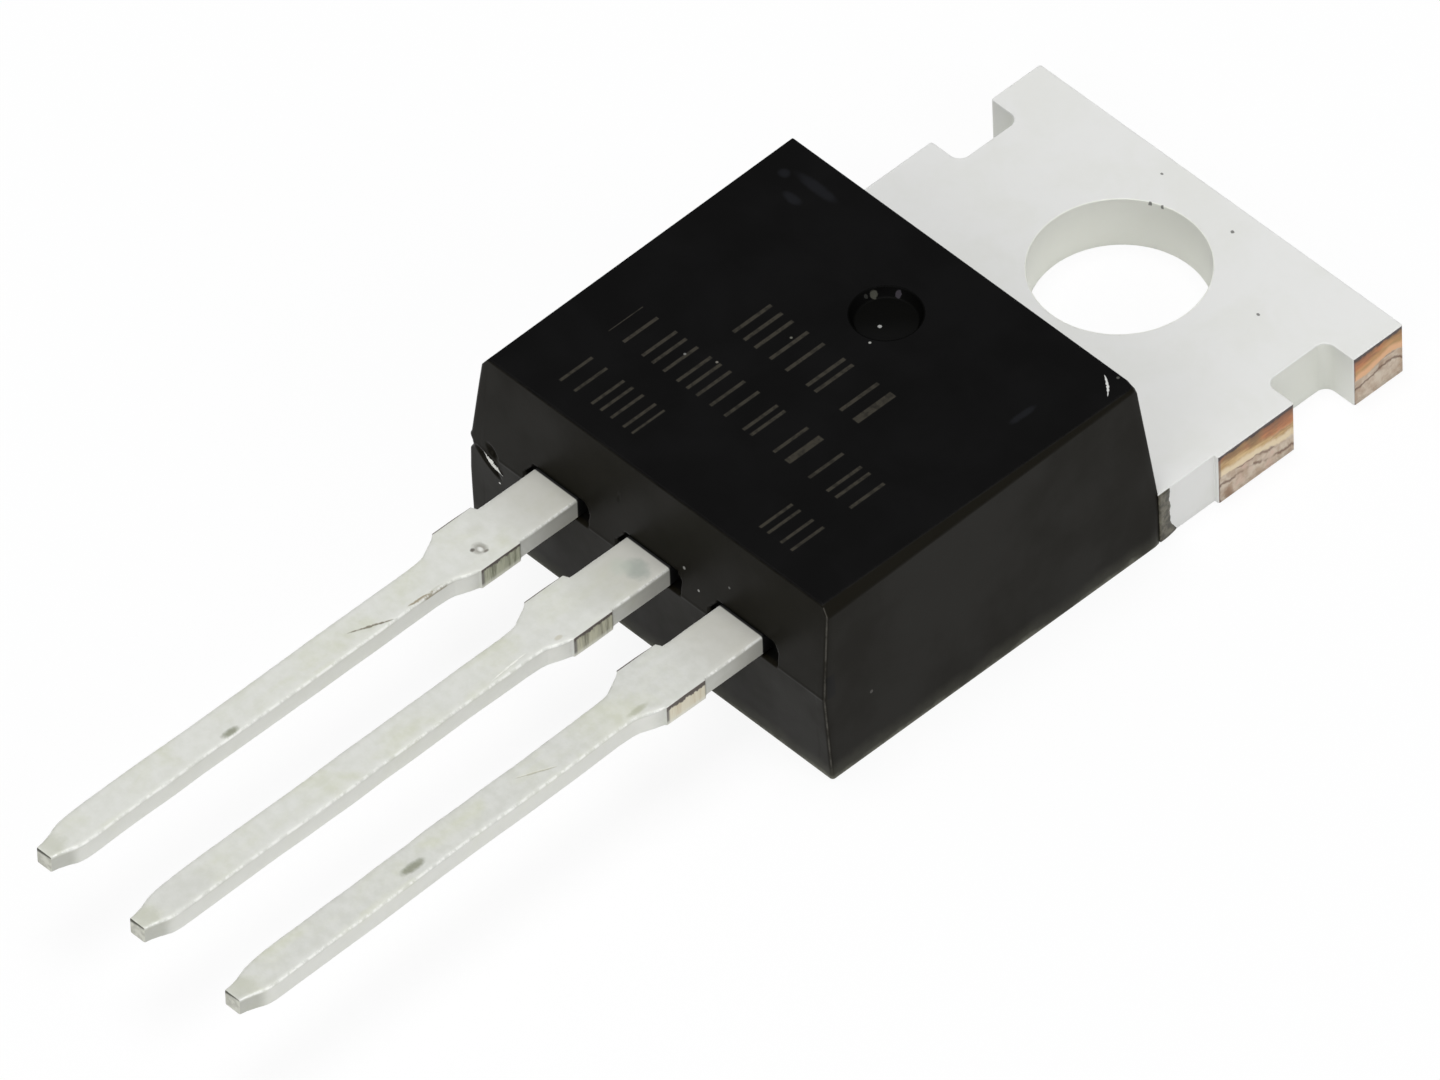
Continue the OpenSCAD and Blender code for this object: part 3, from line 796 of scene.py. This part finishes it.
def flash_material():
    """Thin translucent-looking resin skin: olive grey, mottled, satin."""
    g = Graph("resin_flash")
    grain = g.noise(7000, 5, 0.65)
    tone = g.blend(g.between(grain, 0.35, 0.65), (0.045, 0.04, 0.026), (0.15, 0.138, 0.1))
    return g.finish(base_color=tone, roughness=0.5, specular_ior_level=0.4, normal=g.bump(grain, 0.01, 0.7))


def plain_material(name, colour, metallic, rough, scale):
    """A sealed piece's finish: its colour with fine drawn grain."""
    g = Graph(name)
    grain = g.noise(scale)
    tone = g.blend(grain, [c * 0.85 for c in colour], [min(1.0, c * 1.1) for c in colour])
    return g.finish(base_color=tone, metallic=metallic, roughness=g.mix(grain, rough * 0.8, rough * 1.2),
                    normal=g.bump(grain, 0.002, 0.4))


# Stations along a lead, from its tip to its root: distance along Y, then the offsets of its left and
# right edges from its middle, the heights of its two faces and the radius of its edges.
LEAD_STATIONS = np.array((
    (TIP, -0.165, 0.215, 2.245, 2.635, 0.02), (-25.83, -0.18, 0.23, 2.235, 2.645, 0.03),
    (-25.70, -0.195, 0.255, 2.22, 2.65, 0.045), (-25.50, -0.24, 0.315, 2.20, 2.65, 0.055),
    (-25.38, -0.285, 0.36, 2.185, 2.65, 0.06), (-25.30, -0.315, 0.385, 2.17, 2.65, 0.065),
    (-25.20, -0.345, 0.40, 2.16, 2.65, 0.065), (-25.05, -0.37, 0.41, 2.152, 2.65, 0.065),
    (-24.80, -0.39, 0.41, 2.15, 2.65, 0.065), (-24.40, -0.40, 0.405, 2.15, 2.65, 0.065),
    (-20.00, -0.405, 0.405, 2.15, 2.65, 0.065), (-16.00, -0.405, 0.41, 2.15, 2.65, 0.065),
    (-15.70, -0.42, 0.42, 2.15, 2.65, 0.06), (-15.55, -0.45, 0.445, 2.15, 2.65, 0.06),
    (-15.40, -0.53, 0.51, 2.15, 2.65, 0.07), (-15.25, -0.60, 0.565, 2.15, 2.65, 0.06),
    (-15.12, -0.66, 0.60, 2.15, 2.65, 0.05), (-15.06, -0.70, 0.61, 2.15, 2.65, 0.03),
    (-15.02, -0.74, 0.645, 2.15, 2.65, 0.018), (-14.50, -0.735, 0.65, 2.15, 2.65, 0.015),
    (-14.03, -0.72, 0.645, 2.15, 2.65, 0.018), (-13.97, -0.60, 0.60, 2.15, 2.65, 0.04),
    (-13.80, -0.60, 0.60, 2.15, 2.65, 0.06), (-12.30, -0.60, 0.60, 2.15, 2.65, 0.06),
    (-12.01, -0.60, 0.60, 2.15, 2.65, 0.05),
))
# Inside the body: where an outer lead's post starts and ends and how far it reaches away from and
# towards the middle, and the heights along the middle lead's ramp down to the tab.
POST, POST_OUT, POST_IN = (-12.0, -10.56, -10.55), 1.37, 0.93
RAMP = ((-11.237, 2.15, 2.65), (-11.03, 1.943, 2.65), (-9.65, 0.563, 1.27), (-9.5, 0.413, 1.12))
# How far each lead drifts to the right over the 8 mm before its tip.
DRIFT = (0.03, 0.06, 0.12)


def lead_points(number, lead_x):
    """Rows of one lead, each a rounded rectangle: its edges, faces and radius run straight between the
    stations, with a slow wobble of a few hundredths, a drift to one side towards the tip, and inside
    the body the post of an outer lead or the middle lead's ramp down to the tab."""
    if lead_x:
        left, right = (-POST_OUT, POST_IN) if lead_x < 0 else (-POST_IN, POST_OUT)
        inner = [(y, left, right, PARTING, LEAD_TOP, 0.02) for y in POST]
    else:
        inner = [(y, -0.6, 0.6, low, high, 0.02) for y, low, high in RAMP]
    table = np.concatenate((LEAD_STATIONS, inner))
    y = np.unique(np.round(np.concatenate((table[:, 0], np.arange(TIP + 0.01, -12.3, 0.045))), 4))
    left, right, low, high, radius = (np.interp(y, table[:, 0], column) for column in table.T[1:])
    free = climb(y, -12.7, -0.6)
    left = left + wave(y, 11 + number, 0.018) * free
    right = right + wave(y, 21 + number, 0.016) * free
    high = high - (0.006 + wave(y, 31 + number, 0.006)) * free
    low = low + (0.006 + wave(y, 41 + number, 0.006)) * free
    middle = lead_x + np.clip((-16 - y) / 8, 0, None) * DRIFT[number]
    across = rounded_rows(left, right, low, high, radius)
    along = np.repeat(y[:, None], across.shape[1], 1)
    return np.stack((across[..., 0] + middle[:, None], along, across[..., 1]), axis=-1)


# Right half of the tab's outline from the front to the end, and the radius of each corner.
TAB_RIGHT = (
    (4.05, -9.65), (4.05, -3.76), (STEP_SIDE, -3.76), (STEP_SIDE, STEP_BACK), (TAB_SIDE, STEP_BACK),
    (TAB_SIDE, NOTCH_FRONT), (NOTCH_SIDE, NOTCH_FRONT), (NOTCH_SIDE, NOTCH_BACK), (TAB_SIDE, NOTCH_BACK),
    (TAB_SIDE, TAB_END),
)
TAB_RADII = (0.05, 0.02, 0.05, 0.02, 0.05, 0.05, 0.24, 0.24, 0.05, 0.05)


def tab_shell(look):
    """The tab: its outline with side notches, steps and the screw hole, soft edges over the plating,
    and sides that are torn and pitted below the cut's smooth band."""
    corners = TAB_RIGHT + tuple((-x, y) for x, y in TAB_RIGHT[::-1])
    outer = rounded_path(corners, TAB_RADII + TAB_RADII[::-1], 0.06)
    angle = np.linspace(0, 2 * math.pi, 160, endpoint=False)
    hole = HOLE_RADIUS * np.stack((np.cos(angle), np.sin(angle)), -1)

    def dent(spot, level):
        """How far the torn lower part of the cut sides sinks: less at the smooth band above it."""
        x, y = spot[..., 0], spot[..., 1]
        cut = (np.abs(x) > TAB_SIDE - 0.005) & (y > -2.2) & (y < TAB_END - 0.04)
        line = 0.72 + wave(y * 2.2, 5, 0.22) + wave(y * 9, 6, 0.05)
        torn = np.clip((line - level) / 0.12, 0, 1)
        rough = 0.5 + 0.5 * np.sin(y * 41 + 3 * np.sin(level * 9)) * np.sin(level * 23 + 2 * np.sin(y * 13))
        return cut * (0.006 + torn * (0.02 + 0.03 * rough))

    return plate(outer, hole, PLATE, round(look.edge / MM, 4), dent)


class OBJECT_OT_transistor_leads(bpy.types.Operator):
    """Makes the three leads with their stubs, necks and pinched tips, and the tab with its cut sides"""

    bl_idname = "object.transistor_leads"
    bl_label = "Leads and Tab"

    def execute(self, context):
        look = context.scene.transistor_metal
        for number, (node, lead_x) in enumerate(LEADS.items()):
            shells = [closed_bar(lead_points(number, lead_x), sink=0.03, wear_and_highlight=edge_columns())]
            if node == MIDDLE_LEAD:
                shells.append(tab_shell(look))
            piece = build(node + "_dressed", shells, node)
            paint(piece, tin_material(look, node, lead_x))
        return {"FINISHED"}


# Hollows and ridges of the body's sides: middle, then the half lengths along X, Y and Z, the turn in
# the X and Z plane in degrees, and the depth, which is negative for a ridge.
DENTS = (
    ((-5.0, -12.46, 2.10), (0.2, 0.2, 0.19), 0, 0.14),
    ((-4.42, -12.50, 1.90), (0.46, 0.3, 0.10), -36, 0.10),
    ((-4.30, -12.50, 2.25), (0.24, 0.3, 0.10), -40, 0.06),
    ((-4.27, -12.50, 1.975), (0.34, 0.3, 0.045), -33, -0.06),
    ((2.05, -12.4, 3.05), (0.05, 0.2, 0.03), 10, 0.02),
    ((-0.9, -12.4, 3.4), (0.04, 0.2, 0.04), 0, 0.02),
    ((4.86, -9.2, 1.1), (0.2, 0.05, 0.03), 0, 0.02),
    ((4.9, -5.4, 0.6), (0.2, 0.04, 0.06), 0, 0.02),
)


def pressed(spots):
    """Depth of the hollows at each spot: a round-topped bump of the distance to each middle, in the
    hollow's own turned axes, with square-shouldered recesses round the leads' roots, slanted on the
    left and wider on the right at the last lead."""
    depth = np.zeros(spots.shape[:-1])
    for middle, half, turn, deep in DENTS:
        d = spots - middle
        c, s = math.cos(math.radians(turn)), math.sin(math.radians(turn))
        along = d[..., 0] * c + d[..., 2] * s
        across = d[..., 2] * c - d[..., 0] * s
        reach = np.sqrt((along / half[0]) ** 2 + (d[..., 1] / half[1]) ** 2 + (across / half[2]) ** 2)
        depth += deep * np.clip(1 - reach ** 2, 0, 1) ** 1.5
    x, z = spots[..., 0], spots[..., 2]
    front = spots[..., 1] < FRONT + 1
    left = 0.69 + 0.2 * climb(z, 2.6, -0.25)
    level = np.clip(np.minimum(z - PARTING + 0.02, LEAD_TOP + 0.02 - z) / 0.03, 0, 1)
    for lead_x in LEADS.values():
        right = (1.0 if lead_x > 0 else 0.9) - 0.12 * climb(z, 2.45, 0.2) ** 2
        across = np.clip(np.minimum(x - lead_x + left, lead_x + right - x) / 0.03, 0, 1)
        depth += 0.24 * across * level * front
    return depth


# Rings of the pin mark from its rim to its middle: how far each lies from the middle and how deep.
PIN_REACH = np.array((0.745, 0.722, 0.712, 0.70, 0.68, 0.655, 0.63, 0.612, 0.60, 0.585, 0.55, 0.35, 0.16))
PIN_SINK = np.array((0, 0, 0.012, 0.035, 0.065, 0.095, 0.125, 0.138, 0.140, 0.140, 0.139, 0.137, 0.135))
PIN_WALL = 7


def body_heights(r_top, r_foot):
    """Heights of the body's rows from the top down: close over both edges, by the parting line and by
    the leads, and the first and last row twice, for the flat rims."""
    z = np.unique(np.round(np.concatenate((
        TOP - r_top * (1 - np.cos(np.linspace(0, math.pi / 2, 7))), np.arange(4.1, 4.35, 0.03),
        np.arange(2.85, 4.1, 0.08), np.arange(1.35, 2.85, 0.028), (1.27, 1.25, 1.22),
        np.arange(0.05, 1.2, 0.09), r_foot * (1 - np.sin(np.linspace(0, math.pi / 2, 5))))), 4))[::-1]
    return np.concatenate((z[:1], z, z[-1:]))


def body_rows(z, r_top, r_foot):
    """The body's sides as rounded rectangles, one for each height: the walls lean in above and below
    the parting line, a long bevel narrows the top towards the rear, the rear right corner is rubbed
    round, and below the tab's plate the rear wall steps in."""
    inset = r_top - np.sqrt(r_top ** 2 - np.clip(r_top - (TOP - z), 0, r_top) ** 2)
    inset += r_foot - np.sqrt(r_foot ** 2 - np.clip(r_foot - z, 0, r_foot) ** 2)
    inset[[0, -1]] += 0.02
    half = FOOT - z * lean(2.9) - inset
    front = FRONT + np.where(z > PARTING, (z - PARTING) * lean(6.7), (PARTING - z) * lean(1))
    front += inset - 0.3 * (0.025 * np.clip(1 - np.abs(z - PARTING) / 0.04, 0, 1))
    rear = REAR - np.clip(z - PLATE, 0, None) * lean(6.5) - inset
    wide = 0.03 + 0.075 * np.clip((TOP - z) / 2.1, 0, 1) + 0.025 * np.clip(1 - np.abs(z - 2.31) / 0.08, 0, 1)
    left = np.maximum(-half - wide, -SIDE + inset)
    rows = rounded_rows(left, half, front, rear, np.full(len(z), 0.07), BODY_ARC, BODY_RUNS)
    level = np.repeat(z[:, None], rows.shape[1], 1)
    x, y = rows[..., 0], rows[..., 1]
    bevel = np.interp(y, (-12.3, -4.0), (0.16, 0.05))
    limit = (FOOT - TOP * lean(2.9)) - bevel + (TOP - level) / lean(57)
    beside_plate = np.minimum(limit, STEP_SIDE + np.clip(REAR - y, 0, None) * 0.44)
    limit = np.where(level < PLATE - 0.005, beside_plate, limit)
    limit[0] -= 0.02
    x = np.clip(x, -limit - wide[:, None], limit)
    turn = 0.2 * np.clip(1 - (TOP - z) / 0.3, 0.35, 1)[:, None]
    from_x, from_y = x - (x.max(1, keepdims=True) - turn), y - (rear[:, None] - turn)
    over = np.where((from_x > 0) & (from_y > 0), np.maximum(np.hypot(from_x, from_y) / turn, 1), 1)
    x, y = x + from_x * (1 / over - 1), y + from_y * (1 / over - 1)
    hidden = (np.abs(x) < 4.03) & (y > -4.2) & (level < PLATE - 0.03)
    return np.dstack((x, np.where(hidden, -3.9, y), np.where(hidden, np.maximum(level, 0.02), level)))


def body_shell(look):
    """The body: its rows of rounded rectangles with hollows pressed into the sides, the round pin mark
    sunk in the top, and a shallow pocket below where the tab's plate shows."""
    r_top, r_foot = round(look.edge / MM, 4), 0.03
    z = body_heights(r_top, r_foot)
    rows = body_rows(z, r_top, r_foot)
    x, level = rows[..., 0], rows[..., 2]
    count, cols = level.shape
    ahead = (np.roll(rows, -1, 1) - np.roll(rows, 1, 1))[..., :2]
    ahead /= np.maximum(np.linalg.norm(ahead, axis=-1, keepdims=True), 1e-9)
    deep = pressed(rows) + 0.004 * np.sin(x * 1.7 + 1) * np.sin(level * 2.1) * (np.abs(x) > 4.6)
    walls = rows[..., :2] + np.stack((-ahead[..., 1], ahead[..., 0]), -1) * deep[..., None]
    shell = np.dstack((walls, level)).reshape(-1, 3)
    angle = np.linspace(0, 2 * math.pi, PIN_POINTS, endpoint=False)
    reach, sink, rings = PIN_REACH[:, None], PIN_SINK[:, None], len(PIN_SINK)
    uneven = wave(angle * 3, 71, 0.012)[None] * np.linspace(0, 1, rings)[:, None] * (reach > 0.2)
    spread = reach + uneven * (reach < 0.72)
    slide = np.clip(sink / 0.14, 0, 1) * np.clip((spread - 0.1) / 0.4, 0, 1)
    mark = np.dstack((PIN_X + 0.05 * slide + spread * np.cos(angle),
                      PIN_Y - 0.045 * slide + spread * np.sin(angle),
                      TOP - sink - 0.3 * uneven * (sink > 0.05)))
    pocket = rounded_path([(-4.055, -9.655), (4.055, -9.655), (4.055, -4.0), (-4.055, -4.0)], [0.04] * 4, 0.4)
    sides = np.concatenate([np.column_stack((pocket, np.full(len(pocket), h))) for h in (0.0, 0.3)])
    points = np.concatenate((shell, mark.reshape(-1, 3), [(PIN_X, PIN_Y, TOP - PIN_DEPTH)], sides))
    start, middle = len(shell), len(shell) + rings * PIN_POINTS
    rim = np.arange(PIN_POINTS) + start
    lower = np.arange(len(pocket)) + middle + 1
    groups = [
        strip(count, cols),
        strip(PIN_WALL + 1, PIN_POINTS, start),
        strip(rings - PIN_WALL, PIN_POINTS, start + PIN_WALL * PIN_POINTS),
        fan(rim + (rings - 1) * PIN_POINTS, middle),
        fill_flat(points, [np.arange(cols), rim]),
        strip(2, len(pocket), middle + 1),
        fill_flat(points, [np.arange(cols) + (count - 1) * cols, lower]),
        fill_flat(points, [lower + len(pocket)]),
    ]
    # Edges that the resin paints bright: the upright corners and a line just under the top edge, a painted
    # highlight that also stands for wear.
    upright = edge_columns(BODY_ARC, BODY_RUNS) * ((z > 0.04) & (z < TOP - 0.05))[:, None]
    bright = np.interp(z, (TOP - 0.04, TOP - 0.015, TOP), (0, 1, 0))[:, None]
    wear_and_highlight = np.zeros(len(points))
    wear_and_highlight[:start] = np.clip(upright + bright, 0, 1).ravel()
    return points, groups, (0, 1, 1, 1, 0, 0, 0, 0), wear_and_highlight


def flash_shell():
    """Ragged skin of resin that crept along the tab's side: a thin wedge whose outer edge wanders with
    height, thickest where it leaves the body."""
    z = np.linspace(0.02, 1.255, 60)
    edge = -3.42 + 0.16 * climb(z, 0.45, -0.4) ** 2 + wave(z * 5, 91, 0.05) + wave(z * 21, 92, 0.02)
    share = np.linspace(0, 1, 9)
    y = -3.74 + share[None] * (edge[:, None] + 3.74)
    thick = 0.045 * (1 - share[None] ** 2) + 0.012 + wave(y * 6 + z[:, None] * 4, 93, 0.01)
    thick[:, -1] = 0.002
    level = np.repeat(z[:, None], len(share), 1)
    outer = np.dstack((STEP_SIDE - 0.005 + thick, y, level))
    inner = np.dstack((np.full_like(y, STEP_SIDE - 0.012), y, level))[:, ::-1]
    return closed_bar(np.concatenate((outer, inner), axis=1), shrink=(0.5,))


class OBJECT_OT_transistor_body(bpy.types.Operator):
    """Makes the moulded body with its soft edges, gate scar and pin mark, and the flash on the tab"""

    bl_idname = "object.transistor_body"
    bl_label = "Moulded Body"

    def execute(self, context):
        look = context.scene.transistor_resin
        piece = build("mould_body_dressed", [body_shell(look)], "mould_body")
        paint(piece, resin_material(look), mark_material())
        paint(build("resin_flash", [flash_shell()]), flash_material())
        return {"FINISHED"}


class OBJECT_OT_transistor_inside(bpy.types.Operator):
    """Gives the sealed chip, solder and wires their finishes"""

    bl_idname = "object.transistor_inside"
    bl_label = "Sealed Pieces"

    def execute(self, context):
        wire = plain_material("bond_wire", (0.78, 0.79, 0.8), 1.0, 0.3, 20000)
        finishes = {
            "silicon_chip": plain_material("silicon", (0.1, 0.11, 0.14), 0.4, 0.2, 9000),
            "chip_solder": plain_material("solder", (0.42, 0.42, 0.44), 1.0, 0.5, 12000),
            "gate_wire": wire,
            "source_wire_1": wire,
            "source_wire_2": wire,
        }
        for node, material in finishes.items():
            paint(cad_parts[node], material)
        return {"FINISHED"}


# Square lamps: place in metres, width of their side and power.
LAMPS = {
    "overhead_lamp": ((-0.03, 0.0, 0.45), 0.25, 1.33),
    "front_lamp": ((0.12, -0.4, 0.26), 0.3, 0.6),
    "side_lamp": ((0.42, 0.08, 0.22), 0.25, 0.5),
}
LAMPS_AIM = Vector((0, -0.01, 0))
TABLE_HALF, TABLE_DROP = 3.0, 1e-5


class OBJECT_OT_transistor_stage(bpy.types.Operator):
    """Sets the white table, the soft lamps and the camera"""

    bl_idname = "object.transistor_stage"
    bl_label = "Table, Lamps and Camera"

    def execute(self, context):
        scene, look = context.scene, context.scene.transistor_stage
        scene.view_settings.view_transform = "Standard"
        self.table(look, scene)
        self.world(scene)
        for name, (place, size, power) in LAMPS.items():
            self.lamp(scene, name, Vector(place), size, power)
        self.camera(look, scene)
        return {"FINISHED"}

    def table(self, look, scene):
        """A wide square just below the part, which camera and reflections see nearly white."""
        mesh = bpy.data.meshes.new("table")
        corners = [(-1, -1), (1, -1), (1, 1), (-1, 1)]
        corners = [(x * TABLE_HALF, y * TABLE_HALF, -TABLE_DROP) for x, y in corners]
        mesh.from_pydata(corners, [], [(0, 1, 2, 3)])
        table = bpy.data.objects.new("table", mesh)
        scene.collection.objects.link(table)
        g = Graph("table_white")
        g.finish(base_color=tuple(look.floor), roughness=0.9, specular_ior_level=0.0)
        rays = g.add("ShaderNodeLightPath").outputs
        seen = g.either(*(rays[f"Is {kind} Ray"] for kind in ("Camera", "Glossy", "Transmission")))
        glow = g.add("ShaderNodeEmission", {"Color": (1.0, 1.0, 1.0, 1.0), "Strength": 1.0})
        shaders = {0: g.product(seen, 0.9), 1: g.shader.outputs[0], 2: glow.outputs[0]}
        blend = g.add("ShaderNodeMixShader", shaders)
        g.feed(g.tree.nodes["Material Output"], "Surface", blend.outputs[0])
        paint(table, g.material)

    def world(self, scene):
        """Even pale light from all round."""
        scene.world = bpy.data.worlds.new("soft_room")
        scene.world.use_nodes = True
        background = scene.world.node_tree.nodes["Background"]
        background.inputs["Color"].default_value = (0.95, 0.97, 1.0, 1.0)
        background.inputs["Strength"].default_value = 0.25

    def lamp(self, scene, name, place, size, power):
        """A square lamp that faces the part."""
        data = bpy.data.lights.new(name, "AREA")
        data.energy = power
        data.size = size
        lamp = bpy.data.objects.new(name, data)
        scene.collection.objects.link(lamp)
        lamp.location = place
        lamp.rotation_euler = (place - LAMPS_AIM).to_track_quat("Z", "Y").to_euler()

    def camera(self, look, scene):
        """The camera stands off its aim along its azimuth and elevation, rolled about its axis."""
        a, e, r = look.azimuth, look.elevation, look.roll
        back = Vector((math.sin(a) * math.cos(e), -math.cos(a) * math.cos(e), math.sin(e)))
        level = Vector((math.cos(a), math.sin(a), 0.0))
        up = back.cross(level)
        right = level * math.cos(r) + up * math.sin(r)
        above = up * math.cos(r) - level * math.sin(r)
        turn = Matrix((right, above, back)).transposed()
        data = bpy.data.cameras.new("photo_camera")
        data.sensor_width = 36.0
        data.lens = look.lens
        data.clip_start, data.clip_end = 0.01, 20.0
        camera = bpy.data.objects.new("photo_camera", data)
        scene.collection.objects.link(camera)
        camera.matrix_world = Matrix.Translation(Vector(look.aim) + back * look.distance) @ turn.to_4x4()
        scene.camera = camera


class VIEW3D_PT_transistor(bpy.types.Panel):
    """Lists the steps that dress the transistor"""

    bl_idname = "VIEW3D_PT_transistor"
    bl_label = "Transistor"
    bl_space_type = "VIEW_3D"
    bl_region_type = "UI"
    bl_category = "Transistor"

    def draw(self, context):
        for step in STEPS:
            self.layout.operator(step.bl_idname)


LOOKS = {
    "transistor_metal": MetalLook,
    "transistor_resin": ResinLook,
    "transistor_stage": StageLook,
}
STEPS = (
    OBJECT_OT_transistor_leads,
    OBJECT_OT_transistor_body,
    OBJECT_OT_transistor_inside,
    OBJECT_OT_transistor_stage,
)
CLASSES = (*LOOKS.values(), *STEPS, VIEW3D_PT_transistor)


def register():
    for cls in CLASSES:
        bpy.utils.register_class(cls)
    for name, cls in LOOKS.items():
        setattr(bpy.types.Scene, name, bpy.props.PointerProperty(type=cls))


def unregister():
    for name in LOOKS:
        delattr(bpy.types.Scene, name)
    for cls in reversed(CLASSES):
        bpy.utils.unregister_class(cls)


def main():
    register()
    bpy.ops.object.transistor_leads()
    bpy.ops.object.transistor_body()
    bpy.ops.object.transistor_inside()
    bpy.ops.object.transistor_stage()


if __name__ == "__main__":
    main()
